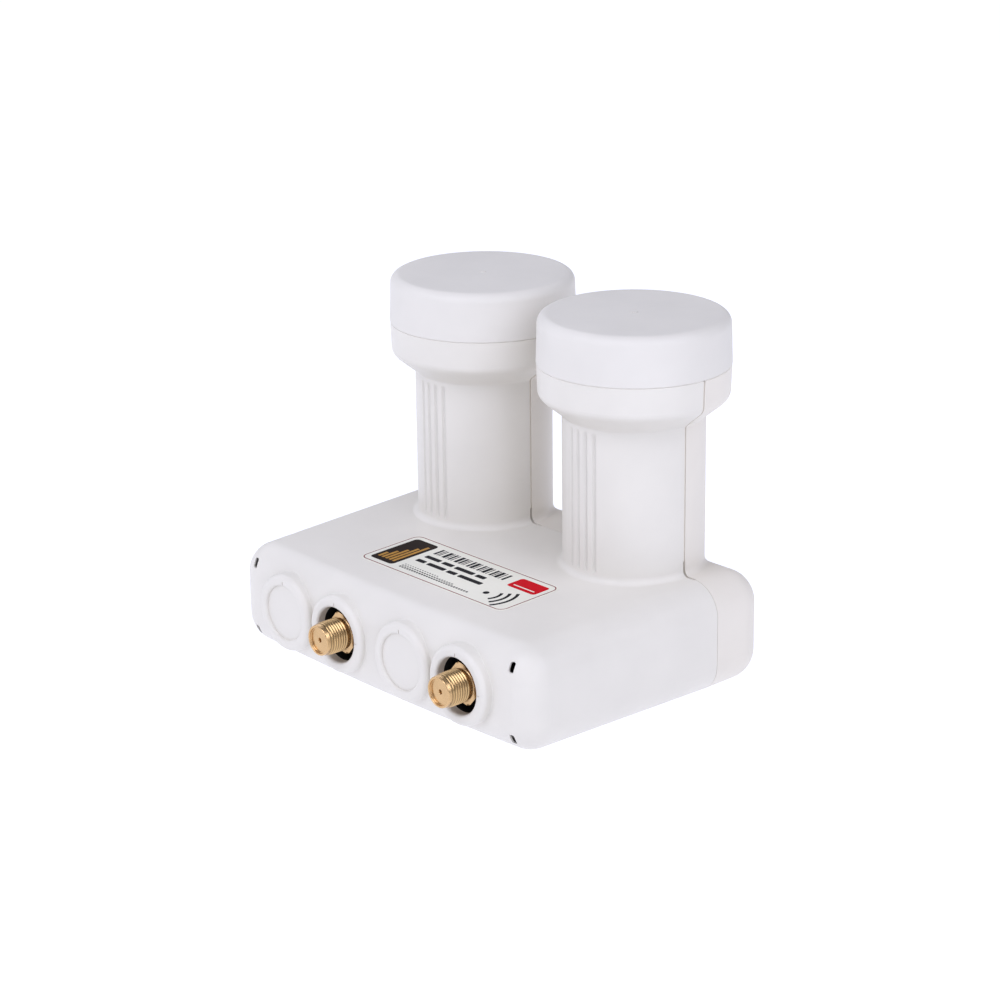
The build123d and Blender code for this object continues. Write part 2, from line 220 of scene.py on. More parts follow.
@dataclass(frozen=True)
class Finish:
    """A surface finish: its base values, and how they vary over the surface.

    Attributes:
        name: name of the material.
        colour: linear base colour.
        roughness: mean roughness.
        metallic: 1 for bare metal, 0 otherwise.
        specular: specular level of the shader.
        mottle: share by which the colour varies in soft patches.
        mottle_scale: patches per metre.
        grain_scale: bumps of the surface's grain per metre.
        grain_height: height of the grain in metres.
        roughness_spread: how far the roughness varies.
        record_slot: slot of the record that the finish belongs to, or empty.
    """

    name: str
    colour: Colour
    roughness: float = 0.5
    metallic: float = 0.0
    specular: float = 0.5
    mottle: float = 0.02
    mottle_scale: float = 60.0
    grain_scale: float = 2500.0
    grain_height: float = 0.01 * MM
    roughness_spread: float = 0.05
    record_slot: str = ""

    def material(self) -> bpy.types.Material:
        """Make the node material of this finish, or return it if it is there.

        Returns:
            The material.
        """
        if self.name in MADE:
            return MADE[self.name]
        made = MADE[self.name] = bpy.data.materials.new(self.name)
        made.use_nodes = True
        tree = made.node_tree
        shader = tree.nodes["Principled BSDF"]
        shader.inputs["Metallic"].default_value = self.metallic
        shader.inputs["Specular IOR Level"].default_value = self.specular
        bench = NodeBench(tree, shader, tree.nodes.new("ShaderNodeTexCoord").outputs["Object"])
        self.paint(bench)
        self.texture(bench)
        return made

    def paint(self, bench: NodeBench) -> None:
        """Give the shader its base colour and roughness, with soft patches.

        Args:
            bench: node tree of the material.
        """
        ramp = bench.tree.nodes.new("ShaderNodeValToRGB")
        for element, position, share in zip(ramp.color_ramp.elements, PATCH_ENDS, (-self.mottle, self.mottle)):
            element.position = position
            element.color = (*(min(part * (1 + share), 1.0) for part in self.colour), 1.0)
        bench.tree.links.new(bench.noise(self.mottle_scale, PATCH_OCTAVES), ramp.inputs["Fac"])
        bench.feed("Base Color", ramp.outputs["Color"])
        sheen = bench.noise(self.mottle_scale * SHEEN_RATIO, SHEEN_OCTAVES)
        bench.feed("Roughness", bench.span(sheen, 0.0, 1.0, self.roughness - self.roughness_spread,
                                           self.roughness + self.roughness_spread))

    def relief(self, bench: NodeBench) -> bpy.types.NodeSocket | None:
        """Normal of the coarser bumps under the grain: a plain surface has none."""
        return None

    def texture(self, bench: NodeBench) -> None:
        """Give the shader the surface's relief, and the fine grain on it.

        Args:
            bench: node tree of the material.
        """
        below = self.relief(bench)
        grain = bench.noise(self.grain_scale, GRAIN_OCTAVES)
        bench.feed("Normal", bench.bump(grain, self.grain_height, below))


@dataclass(frozen=True)
class MouldedFinish(Finish):
    """Moulded plastic: a fine grain over the slight waviness of a moulded wall.

    Attributes:
        wave_scale: waves per metre.
        wave_height: height of the waves in metres.
    """

    wave_scale: float = 90.0
    wave_height: float = 0.03 * MM

    def relief(self, bench: NodeBench) -> bpy.types.NodeSocket | None:
        """Normal of the wall's waves."""
        return bench.bump(bench.noise(self.wave_scale, WAVE_OCTAVES), self.wave_height)


@dataclass(frozen=True)
class FlutedFinish(MouldedFinish):
    """Moulded plastic whose flutes on the necks a bump cuts a little deeper, with painted shade in them.

    Attributes:
        horn_reach: distance of the horns' axes from the middle.
        flute_middle: angle of the middle of the row, from +X towards +Y.
        flute_step: angle between flutes.
        flute_half: half the angle that a flute takes up.
        flute_count: flutes in a row.
        flute_low: lower end of the flutes.
        flute_high: upper end.
        flute_fade: length over which the bump and the painted shade fade at the ends.
        flute_depth: depth that the bump adds to them.
        flute_painted_shade: share of the colour that painted shade takes from them.
    """

    horn_reach: float = 31.25 * MM
    flute_middle: float = math.radians(-90.0)
    flute_step: float = math.radians(8.5)
    flute_half: float = math.radians(2.2)
    flute_count: int = 4
    flute_low: float = 34.0 * MM
    flute_high: float = 74.3 * MM
    flute_fade: float = 1.0 * MM
    flute_depth: float = 0.25 * MM
    flute_painted_shade: float = 0.055

    def flutes(self, bench: NodeBench) -> bpy.types.NodeSocket:
        """Find the flutes of both necks.

        Args:
            bench: node tree of the material.

        Returns:
            1 in the middle of a flute, 0 beside it.
        """
        x, y, z = bench.axes()
        across = bench.maths("MULTIPLY_ADD", bench.maths("SIGN", x), -self.horn_reach, x)
        turn = bench.maths("ADD", bench.maths("ARCTAN2", y, across), -self.flute_middle)
        half_row = (self.flute_count - 1) / 2 * self.flute_step
        beside = bench.maths("PINGPONG", bench.maths("ADD", turn, half_row), self.flute_step / 2)
        found = bench.span(beside, self.flute_half, 0.0)
        masks = (bench.maths("LESS_THAN", bench.maths("ABSOLUTE", turn), half_row + self.flute_half),
                 bench.span(z, self.flute_low, self.flute_low + self.flute_fade),
                 bench.span(z, self.flute_high, self.flute_high - self.flute_fade))
        for mask in masks:
            found = bench.maths("MULTIPLY", found, mask)
        return found

    def paint(self, bench: NodeBench) -> None:
        """Give the shader its colour and roughness, and paint shade into the flutes."""
        super().paint(bench)
        # Painted shade: the colour darkens in the flutes, where shade falls.
        bench.shade(bench.maths("MULTIPLY_ADD", self.flutes(bench), -self.flute_painted_shade, 1.0))

    def relief(self, bench: NodeBench) -> bpy.types.NodeSocket | None:
        """Normal of the wall's waves with the flutes cut into them.

        Args:
            bench: node tree of the material.

        Returns:
            The normal.
        """
        waves = super().relief(bench)
        height = bench.maths("SUBTRACT", 1.0, self.flutes(bench))
        return bench.bump(height, self.flute_depth, waves)


@dataclass(frozen=True)
class TurnedFinish(Finish):
    """Plated turned metal: fine marks of the lathe across the axis.

    Attributes:
        mark_scale: marks per metre.
        mark_height: height of the marks in metres.
        mark_waver: how far the marks waver.
    """

    mark_scale: float = 6000.0
    mark_height: float = 0.004 * MM
    mark_waver: float = 2.0

    def relief(self, bench: NodeBench) -> bpy.types.NodeSocket | None:
        """Normal of the lathe's marks.

        Args:
            bench: node tree of the material.

        Returns:
            The normal.
        """
        wave = bench.tree.nodes.new("ShaderNodeTexWave")
        wave.bands_direction = "Y"
        wave.inputs["Scale"].default_value = self.mark_scale
        wave.inputs["Distortion"].default_value = self.mark_waver
        bench.tree.links.new(bench.place, wave.inputs["Vector"])
        return bench.bump(wave.outputs["Fac"], self.mark_height)


@dataclass(frozen=True)
class ThreadFinish(TurnedFinish):
    """Turned metal whose thread has painted shade, darker towards its root.

    Attributes:
        root_radius: radius of the thread's root.
        crest_radius: radius of its crest.
        root_painted_shade_share: share of the colour that is left at the root under the painted shade.
    """

    root_radius: float = 4.40 * MM
    crest_radius: float = 4.72 * MM
    root_painted_shade_share: float = 0.45

    def paint(self, bench: NodeBench) -> None:
        """Give the shader its colour and roughness, and paint shade into the thread's root.

        Args:
            bench: node tree of the material, whose piece has its axis along Y.
        """
        super().paint(bench)
        x, _, z = bench.axes()
        squares = [bench.maths("MULTIPLY", part, part) for part in (x, z)]
        radius = bench.maths("SQRT", bench.maths("ADD", *squares))
        # Painted shade: the colour darkens towards the thread's root, where shade falls.
        bench.shade(bench.span(radius, self.root_radius, self.crest_radius, self.root_painted_shade_share))


@dataclass(frozen=True)
class InkFinish(Finish):
    """Matt printing ink: little gloss and hardly any grain."""

    specular: float = 0.06
    mottle: float = 0.1
    grain_height: float = 0.002 * MM


# The front shell's finish paints shade into the flutes of the necks.
FRONT_PLASTIC = FlutedFinish("front_plastic", (0.715, 0.684, 0.624), 0.42, specular=0.4,
                             record_slot="front_housing")
REAR_PLASTIC = MouldedFinish("rear_plastic", (0.735, 0.690, 0.618), 0.45, specular=0.4, record_slot="rear_housing")
CAP_PLASTIC = MouldedFinish("cap_moulding", (0.700, 0.672, 0.623), 0.5, specular=0.35, grain_scale=1800.0,
                            record_slot="cap_plastic")
BLACK_RUBBER = Finish("black_rubber", (0.012, 0.012, 0.012), 0.75, specular=0.2, mottle=0.2,
                      record_slot="seal_rubber")
CAST_METAL = Finish("cast_metal", (0.45, 0.45, 0.46), 0.5, metallic=1.0, mottle=0.08, grain_height=0.03 * MM,
                    record_slot="casting_metal")
BOARD_LACQUER = Finish("board_lacquer", (0.03, 0.16, 0.07), 0.35, mottle=0.12, record_slot="board_laminate")
ZINC_STEEL = TurnedFinish("zinc_steel", (0.62, 0.62, 0.63), 0.35, metallic=1.0, record_slot="screw_steel")
GOLD_PLATE = TurnedFinish("gold_plate", (0.64, 0.425, 0.212), 0.26, metallic=1.0, mottle=0.06, mottle_scale=250.0,
                          grain_height=0.003 * MM, record_slot="connector_gold")
# The thread's finish paints shade towards the thread's root.
GOLD_THREAD = ThreadFinish("gold_thread", (0.67, 0.45, 0.214), 0.24, metallic=1.0, mottle=0.06, mottle_scale=250.0,
                           grain_height=0.002 * MM, mark_height=0.001 * MM)
WHITE_INSULATOR = Finish("white_insulator", (0.78, 0.77, 0.73), 0.5, record_slot="insulator_plastic")
CONTACT_METAL = TurnedFinish("contact_plate", (0.55, 0.40, 0.20), 0.35, metallic=1.0,
                             record_slot="contact_metal")
LABEL_FILM = Finish("label_sheet", (0.76, 0.742, 0.654), 0.32, mottle=0.012, grain_height=0.002 * MM,
                    record_slot="label_film")
BORDER_INK = InkFinish("border_ink", (0.20, 0.04, 0.045), specular=0.08, mottle=0.02)
DARK_INK = InkFinish("dark_ink", (0.010, 0.010, 0.012))
BROWN_INK = InkFinish("brown_ink", (0.014, 0.008, 0.005))
GOLD_INK = InkFinish("gold_ink", (0.42, 0.21, 0.03), 0.4, specular=0.15, mottle=0.15, mottle_scale=300.0)
RED_INK = InkFinish("red_ink", (0.52, 0.006, 0.014), specular=0.03, mottle=0.04)


@dataclass
class MeshDraft:
    """Points and faces of a piece while it is drawn.

    Attributes:
        points: the points.
        faces: the faces, by the numbers of their points.
        slots: material slot of each face.
    """

    points: list[Vector] = field(default_factory=list)
    faces: list[tuple[int, ...]] = field(default_factory=list)
    slots: list[int] = field(default_factory=list)

    def loop(self, points: list[Vector]) -> list[int]:
        """Add a loop of points.

        Args:
            points: the points in order.

        Returns:
            Their numbers.
        """
        start = len(self.points)
        self.points.extend(points)
        return list(range(start, len(self.points)))

    def cover(self, loop: list[int], slot: int) -> None:
        """Close a flat loop with one face."""
        self.faces.append(tuple(loop))
        self.slots.append(slot)

    def band(self, first: list[int], second: list[int], slot: int, closed: bool = True) -> None:
        """Join two loops with a band of quads.

        Args:
            first: numbers of one loop.
            second: numbers of the other, as many.
            slot: material slot of the faces.
            closed: True if the band runs all the way round.
        """
        count = len(first)
        for i in range(count if closed else count - 1):
            j = (i + 1) % count
            self.faces.append((first[i], first[j], second[j], second[i]))
            self.slots.append(slot)

    def mesh(self, name: str, sharp: float) -> bpy.types.Mesh:
        """Make the mesh, with its faces turned outwards and shaded smooth.

        Args:
            name: name of the mesh.
            sharp: angle in radians from which an edge stays sharp.

        Returns:
            The mesh.
        """
        made = bpy.data.meshes.new(name)
        made.from_pydata([tuple(p) for p in self.points], [], self.faces)
        made.polygons.foreach_set("material_index", self.slots)
        form = bmesh.new()
        form.from_mesh(made)
        bmesh.ops.recalc_face_normals(form, faces=form.faces)
        form.to_mesh(made)
        form.free()
        made.polygons.foreach_set("use_smooth", [True] * len(made.polygons))
        made.set_sharp_from_angle(angle=sharp)
        return made


def mesh_object(name: str, mesh: bpy.types.Mesh, *finishes: Finish) -> bpy.types.Object:
    """Put a mesh in the scene with its materials.

    Args:
        name: name of the object.
        mesh: its mesh.
        finishes: finishes of its material slots, in order.

    Returns:
        The object.
    """
    made = bpy.data.objects.new(name, mesh)
    for finish in finishes:
        mesh.materials.append(finish.material())
    bpy.context.scene.collection.objects.link(made)
    return made


def stand_for(piece: bpy.types.Object, slot: str, *nodes: str) -> None:
    """Let a piece ride on the object and stand for CAD nodes.

    Args:
        piece: the new piece.
        slot: material slot of the record; not used.
        nodes: names of the nodes it stands for.
    """
    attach(piece, BODY)
    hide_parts(*nodes)
    LOG.info("%s stands for %s", piece.name, ", ".join(nodes))


def dress(node: str, finish: Finish) -> None:
    """Give a CAD node its finish.

    Args:
        node: name of the node.
        finish: its finish.
    """
    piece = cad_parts[node]
    piece.data.materials.clear()
    piece.data.materials.append(finish.material())
    LOG.info("%s dressed in %s", node, finish.name)


def middle_of(node: str) -> Vector:
    """Middle of a CAD node's box."""
    low, high = (Vector(corner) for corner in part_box(node))
    return (low + high) / 2


@dataclass
class Housing:
    """The two moulded shells, and the weather caps on their collars.

    Attributes:
        finishes: finish of each node.
    """

    finishes: dict[str, Finish] = field(default_factory=lambda: {
        "front_shell": FRONT_PLASTIC, "rear_shell": REAR_PLASTIC, "left_feed_cap": CAP_PLASTIC,
        "right_feed_cap": CAP_PLASTIC})

    def build(self) -> None:
        """Dress the mouldings."""
        for node, finish in self.finishes.items():
            dress(node, finish)


@dataclass
class InnerWorks:
    """The casting with its circuit, the seals, and what sits in the connectors.

    Attributes:
        finishes: finish of each node that is there once.
        paired: finish of each node that is there on both sides.
    """

    finishes: dict[str, Finish] = field(default_factory=lambda: {
        "body_casting": CAST_METAL, "circuit_board": BOARD_LACQUER, "shield_cover": CAST_METAL,
        "cover_gasket": BLACK_RUBBER, "cover_screws": ZINC_STEEL})
    paired: dict[str, Finish] = field(default_factory=lambda: {
        "cap_seal": BLACK_RUBBER, "connector_seal": BLACK_RUBBER, "insulator": WHITE_INSULATOR,
        "contact": CONTACT_METAL})

    def build(self) -> None:
        """Dress each node."""
        for node, finish in self.finishes.items():
            dress(node, finish)
        for side in Side:
            for name, finish in self.paired.items():
                dress(f"{side.value}_{name}", finish)


@dataclass(frozen=True)
class Ring:
    """One ring of a turned piece.

    Attributes:
        depth: distance behind the tip.
        radius: its radius, or for a hexagon the radius that its corners are turned down to.
        form: its outline.
    """

    depth: float
    radius: float
    form: RingForm = RingForm.ROUND


@dataclass
class Connector:
    """An F connector body with its thread cut, in the place of the CAD node.

    Depths are measured from the tip.

    Attributes:
        side: which of the two it is.
        segments: points round the axis.
        thread_radius: radius of the thread's crest.
        thread_depth: depth of the thread.
        thread_pitch: its pitch.
        thread_steps: rings per turn of the thread.
        crest_share: share of the pitch that the crest takes up.
        flank_share: share of the pitch that each flank takes up.
        rim_radius: outer radius of the flat rim.
        rim_chamfer: chamfer outside the rim.
        lead_length: depth of the end of the cone that leads onto the thread.
        thread_start: depth of the thread's start.
        thread_end: depth of its end.
        relief_radius: radius of the groove behind the thread.
        fade_slope: slope at which the thread runs out into the groove.
        hex_front: depth of the hexagon's front.
        hex_back: depth of its back.
        hex_apothem: half the width across its flats.
        hex_chamfer: how far its corners are turned down.
        chamfer_length: length of that chamfer.
        chamfer_steps: rings along it.
        hex_turn: turn of the hexagon.
        shank_radius: radius behind the hexagon.
        face_radius: radius of the face inside the rim.
        face_recess: depth of the face.
        face_thickness: thickness of the face.
        hole_radius: radius of the hole in the face.
        bore_radius: radius of the bore behind the face.
        edge: unit of the small rounds on the edges.
        sharp: angle from which an edge stays sharp.
    """

    side: Side
    segments: int = 96
    thread_radius: float = 4.7625 * MM
    thread_depth: float = 0.36 * MM
    thread_pitch: float = 0.85 * MM
    thread_steps: int = 16
    crest_share: float = 0.14
    flank_share: float = 0.36
    rim_radius: float = 4.15 * MM
    rim_chamfer: float = 0.2 * MM
    lead_length: float = 2.6 * MM
    thread_start: float = 1.1 * MM
    thread_end: float = 7.5 * MM
    relief_radius: float = 4.25 * MM
    fade_slope: float = 1.2
    hex_front: float = 8.8 * MM
    hex_back: float = 12.8 * MM
    hex_apothem: float = 5.5 * MM
    hex_chamfer: float = 0.35 * MM
    chamfer_length: float = 0.45 * MM
    chamfer_steps: int = 5
    hex_turn: float = math.radians(20.0)
    shank_radius: float = 4.0 * MM
    face_radius: float = 3.7 * MM
    face_recess: float = 0.7 * MM
    face_thickness: float = 0.9 * MM
    hole_radius: float = 0.65 * MM
    bore_radius: float = 3.0 * MM
    edge: float = 0.05 * MM
    sharp: float = math.radians(58.0)

    def groove(self, phase: float) -> float:
        """Depth of the thread's V, from 0 on its crest to 1 at its root.

        Args:
            phase: turns of the thread.

        Returns:
            The share of the full depth.
        """
        share = phase % 1.0
        front = (share - self.crest_share) / self.flank_share
        back = (1.0 - share) / self.flank_share
        return min(max(min(front, back), 0.0), 1.0)

    def reach(self, ring: Ring, angle: float) -> float:
        """Radius of a ring at an angle.

        Args:
            ring: the ring.
            angle: angle from +X towards +Z.

        Returns:
            The radius.
        """
        if ring.form is RingForm.HEXAGON:
            off = (angle - self.hex_turn - math.pi / 2) % HEX_SECTOR - HEX_SECTOR / 2
            return min(self.hex_apothem / math.cos(off), ring.radius)
        if ring.form is RingForm.THREAD:
            phase = ring.depth / self.thread_pitch - angle / math.tau
            return min(self.thread_radius - self.thread_depth * self.groove(phase), ring.radius)
        return ring.radius

    def lead(self, depth: float) -> float:
        """Radius of the cone that leads onto the thread.

        Args:
            depth: distance behind the tip.

        Returns:
            The radius, at most the thread's.
        """
        share = (depth - self.rim_chamfer) / (self.lead_length - self.rim_chamfer)
        start = self.rim_radius + self.rim_chamfer
        return start + (self.thread_radius - start) * min(max(share, 0.0), 1.0)

    def nose(self) -> list[Ring]:
        """Rings from the hole in the face, round the rim, to the end of the thread.

        Returns:
            The rings in order.
        """
        floor = self.face_recess
        rim = self.rim_radius
        e = self.edge
        rings = [Ring(floor + 2 * e, self.hole_radius), Ring(floor, self.hole_radius + 2 * e),
                 Ring(floor, self.hole_radius + 4 * e), Ring(floor, self.face_radius - 5 * e),
                 Ring(floor, self.face_radius - 3 * e), Ring(floor - e, self.face_radius - e),
                 Ring(floor - 3 * e, self.face_radius), Ring(2 * e, self.face_radius),
                 Ring(0.0, self.face_radius + 2 * e), Ring(0.0, self.face_radius + 3 * e), Ring(0.0, rim - e),
                 Ring(0.0, rim), Ring(e, rim + 2 * e), Ring(2 * e, rim + 3 * e)]
        rings += [Ring(depth, self.lead(depth)) for depth in (self.rim_chamfer, self.rim_chamfer + 2 * e)]
        steps = round((self.thread_end - self.thread_start) / self.thread_pitch * self.thread_steps)
        for i in range(steps):
            depth = self.thread_start + (self.thread_end - self.thread_start) * i / steps
            fade = (self.thread_end - depth) * self.fade_slope + self.relief_radius
            rings.append(Ring(depth, min(self.lead(depth), fade), RingForm.THREAD))
        return rings

    def tail(self, length: float) -> list[Ring]:
        """Rings from the hexagon to the back end, and through the bore to the face.

        Args:
            length: length of the body.

        Returns:
            The rings in order.
        """
        corner = self.hex_apothem / math.cos(HEX_SECTOR / 2)
        turned = corner - self.hex_chamfer
        behind = self.face_recess + self.face_thickness
        e = self.edge
        groove = self.relief_radius
        rings = [Ring(self.thread_end, groove), Ring(self.thread_end + 2 * e, groove),
                 Ring(self.hex_front - 4 * e, groove), Ring(self.hex_front, groove + 4 * e),
                 Ring(self.hex_front, self.hex_apothem - 2 * e)]
        for i in range(self.chamfer_steps + 1):
            share = i / self.chamfer_steps
            rings.append(Ring(self.hex_front + share * self.chamfer_length, turned + share * self.hex_chamfer,
                              RingForm.HEXAGON))
        rings += [Ring(self.hex_back, corner, RingForm.HEXAGON), Ring(self.hex_back, self.shank_radius),
                  Ring(length - 4 * e, self.shank_radius), Ring(length, self.shank_radius - 4 * e),
                  Ring(length, self.bore_radius), Ring(behind, self.bore_radius), Ring(behind, self.hole_radius)]
        return rings

    def build(self) -> None:
        """Turn the body ring by ring and put it in the place of the CAD node."""
        node = f"{self.side.value}_connector"
        low, high = (Vector(corner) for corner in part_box(node))
        middle = (low + high) / 2
        rings = self.nose() + self.tail(high.y - low.y)
        draft = MeshDraft()
        loops = []
        for ring in rings:
            points = []
            for i in range(self.segments):
                angle = self.hex_turn + math.pi / 2 + math.tau * i / self.segments
                reach = self.reach(ring, angle)
                points.append(Vector((reach * math.cos(angle), ring.depth, reach * math.sin(angle))))
            loops.append(draft.loop(points))
        for ring, first, second in zip(rings, loops, loops[1:] + loops[:1]):
            slot = MetalSlot.THREAD if ring.form is RingForm.THREAD else MetalSlot.PLATE
            draft.band(first, second, slot.value)
        piece = mesh_object(f"{node}_body", draft.mesh(f"{node}_body", self.sharp), GOLD_PLATE, GOLD_THREAD)
        piece.location = (middle.x, low.y, middle.z)
        stand_for(piece, GOLD_PLATE.record_slot, node)


@dataclass(frozen=True)
class Bar:
    """A rounded bar printed on the label, in millimetres from its middle.

    Attributes:
        left: left end.
        right: right end.
        bottom: lower edge.
        top: upper edge.
        ink: its ink.
        corner: radius of its corners.
        layer: 1 for ink on the film, 2 for ink on other ink.
    """

    left: float
    right: float
    bottom: float
    top: float
    ink: Ink
    corner: float
    layer: int = 1


@dataclass(frozen=True)
class LabelPattern:
    """A plain pattern of bars and dots for the label, in millimetres from its middle.

    Attributes:
        panel: dark panel at the left end.
        flag: coloured field at the right end.
        flag_line: pale line in the field.
        level: shortest bar of the panel.
        level_count: bars of the panel.
        level_step: distance from bar to bar.
        level_rise: how much longer each next bar is.
        stroke_left: left end of the row of strokes.
        stroke_ends: lower and upper end of the strokes.
        strokes: width of each stroke and of the gap after it.
        dash_rows: for each row of dashes its lower and upper edge, and the ends of the dashes.
        dash_corner: radius of the dashes' corners.
        dot_halves: half the size of the dots, row by row.
        dot_start: middle of the first dot.
        dot_pitch: distance from dot to dot.
        dot_count: dots in the first row.
        dot_fewer: how many fewer each next row has.
        fine_corner: radius of the corners of strokes and dots.
    """

    panel: Bar = Bar(-28.2, -18.4, -9.0, 9.0, Ink.BROWN, 1.3)
    flag: Bar = Bar(17.0, 28.2, 2.6, 9.0, Ink.RED, 1.0)
    flag_line: Bar = Bar(18.4, 26.8, 4.0, 4.5, Ink.GROUND, 0.2, 2)
    level: Bar = Bar(-26.9, -25.9, -7.0, -3.6, Ink.GOLD, 0.2, 2)
    level_count: int = 5
    level_step: float = 1.55
    level_rise: float = 2.55
    stroke_left: float = -15.9
    stroke_ends: Flat = (4.3, 8.3)
    strokes: tuple[Flat, ...] = (
        (0.9, 0.5), (0.4, 0.4), (0.4, 0.9), (1.3, 0.4), (0.4, 0.5), (0.8, 0.5), (0.4, 0.9), (1.3, 0.5),
        (0.9, 0.4), (0.4, 0.4), (0.4, 0.9), (0.9, 0.5), (1.3, 0.4), (0.4, 0.9), (0.8, 0.4), (0.4, 0.5),
        (1.3, 0.5), (0.4, 0.9), (0.9, 0.4), (0.4, 0.4), (1.3, 0.5), (0.4, 0.9), (0.9, 0.0))
    dash_rows: tuple[tuple[Flat, tuple[Flat, ...]], ...] = (
        ((0.9, 2.6), ((-15.9, -9.6), (-8.6, -4.2), (-3.2, 4.6), (5.6, 9.4))),
        ((-2.5, -0.8), ((-15.9, -12.2), (-11.2, -3.8), (-2.8, 1.0), (2.0, 11.6))))
    dash_corner: float = 0.35
    dot_halves: tuple[float, ...] = (0.36, 0.3, 0.22)
    dot_start: Flat = (-15.5, -8.2)
    dot_pitch: float = 1.05
    dot_count: int = 28
    dot_fewer: int = 7
    fine_corner: float = 0.08

    def bars(self) -> list[Bar]:
        """Bars of the pattern.

        Returns:
            The panel, the field, the levels, the field's line, the strokes, the dashes and the dots.
        """
        bars = [self.panel, self.flag]
        level = self.level
        for i in range(self.level_count):
            shift = self.level_step * i
            bars.append(replace(level, left=level.left + shift, right=level.right + shift,
                                top=level.top + self.level_rise * i))
        bars.append(self.flag_line)
        left = self.stroke_left
        for stroke, gap in self.strokes:
            bars.append(Bar(left, left + stroke, *self.stroke_ends, Ink.DARK, self.fine_corner))
            left += stroke + gap
        for ends, dashes in self.dash_rows:
            for left, right in dashes:
                bars.append(Bar(left, right, *ends, Ink.DARK, self.dash_corner))
        for row, half in enumerate(self.dot_halves):
            y = self.dot_start[1] + self.dot_pitch * row
            for i in range(self.dot_count - self.dot_fewer * row):
                x = self.dot_start[0] + self.dot_pitch * i
                bars.append(Bar(x - half, x + half, y - half, y + half, Ink.DARK, self.fine_corner))
        return bars


@dataclass
class TypeLabel:
    """The printed film on the case's top: film, border, and a plain pattern of bars, dots and arcs.

    Attributes:
        length: length of the film.
        width: its width.
        corner: radius of its corners.
        thickness: thickness of the CAD node's film.
        tilt: slope of the case's top.
        film: height of the film's upper side.
        rim: width of the slope at the film's edge.
        ink_step: height of one layer of ink.
        ink_root: height at which the ink starts inside the film.
        border_inset: distance of the border from the edge.
        border_width: width of the border.
        arc_middle: middle of the arcs.
        arc_radii: their outer radii.
        arc_width: their width.
        arc_half: half the angle that they take up.
        arc_steps: faces along an arc.
        dot_radius: radius of the dot in the middle of the arcs.
        corner_steps: faces round a corner.
        sharp: angle from which an edge stays sharp.
        inks: finish of each ink.
        pattern: the bars.
        draft: the mesh while it is drawn.
        middle: middle of the CAD node.
    """

    length: float = 61.0 * MM
    width: float = 23.0 * MM
    corner: float = 3.0 * MM
    thickness: float = 0.12 * MM
    tilt: float = math.radians(2.0)
    film: float = 0.1 * MM
    rim: float = 0.025 * MM
    ink_step: float = 0.006 * MM
    ink_root: float = 0.05 * MM
    border_inset: float = 0.5 * MM
    border_width: float = 0.34 * MM
    arc_middle: Flat = (17.2 * MM, -4.9 * MM)
    arc_radii: tuple[float, ...] = (4.9 * MM, 7.2 * MM, 9.5 * MM)
    arc_width: float = 0.95 * MM
    arc_half: float = math.radians(36.0)
    arc_steps: int = 24
    dot_radius: float = 0.95 * MM
    corner_steps: int = 8
    sharp: float = math.radians(30.0)
    inks: dict[Ink, Finish] = field(default_factory=lambda: {
        Ink.GROUND: LABEL_FILM, Ink.BORDER: BORDER_INK, Ink.DARK: DARK_INK, Ink.BROWN: BROWN_INK,
        Ink.GOLD: GOLD_INK, Ink.RED: RED_INK})
    pattern: LabelPattern = field(default_factory=LabelPattern)
    draft: MeshDraft = field(default_factory=MeshDraft)
    middle: Vector = field(default_factory=lambda: middle_of("type_label"))

    def place(self, spot: Flat, height: float) -> Vector:
        """Place on the tilted film of a spot at a height above its underside.

        Args:
            spot: spot on the film, from its middle.
            height: height above the underside.

        Returns:
            The point.
        """
        across = Vector((1.0, 0.0, 0.0))
        along = Vector((0.0, math.cos(self.tilt), math.sin(self.tilt)))
        up = across.cross(along)
        return self.middle + across * spot[0] + along * spot[1] + up * (height - self.thickness / 2)

    def rounded(self, left: float, right: float, bottom: float, top: float, corner: float) -> list[Flat]:
        """Outline of a rectangle with round corners.

        Args:
            left: left side.
            right: right side.
            bottom: lower side.
            top: upper side.
            corner: radius of the corners.

        Returns:
            The outline, counter-clockwise.
        """
        spots = []
        middles = ((right - corner, bottom + corner), (right - corner, top - corner),
                   (left + corner, top - corner), (left + corner, bottom + corner))
        for turn, (x, y) in enumerate(middles):
            for i in range(self.corner_steps + 1):
                angle = (turn - 1 + i / self.corner_steps) * math.pi / 2
                spots.append((x + corner * math.cos(angle), y + corner * math.sin(angle)))
        return spots

    def whole(self, inset: float) -> list[Flat]:
        """Outline of the film, smaller by an inset.

        Args:
            inset: distance from the film's edge.

        Returns:
            The outline.
        """
        x = self.length / 2 - inset
        y = self.width / 2 - inset
        return self.rounded(-x, x, -y, y, self.corner - inset)

    def loop(self, outline: list[Flat], height: float) -> list[int]:
        """Add an outline at a height."""
        return self.draft.loop([self.place(spot, height) for spot in outline])

    def slab(self, outline: list[Flat], ink: Ink, layer: int) -> None:
        """Print a convex outline.

        Args:
            outline: the outline.
            ink: its ink.
            layer: 1 for ink on the film, 2 for ink on other ink.
        """
        foot = self.loop(outline, self.ink_root)
        head = self.loop(outline, self.film + layer * self.ink_step)
        self.draft.band(foot, head, ink.value)
        self.draft.cover(foot, ink.value)
        self.draft.cover(head, ink.value)

    def stroke(self, outer: list[Flat], inner: list[Flat], ink: Ink, closed: bool) -> None:
        """Print the strip between two outlines.

        Args:
            outer: one outline.
            inner: the other, of as many spots.
            ink: its ink.
            closed: True if the strip runs all the way round.
        """
        head = self.film + self.ink_step
        loops = [self.loop(outer, self.ink_root), self.loop(outer, head), self.loop(inner, head),
                 self.loop(inner, self.ink_root)]
        for first, second in zip(loops, loops[1:] + loops[:1]):
            self.draft.band(first, second, ink.value, closed)
        if not closed:
            for end in (0, -1):
                self.draft.cover([loop[end] for loop in loops], ink.value)

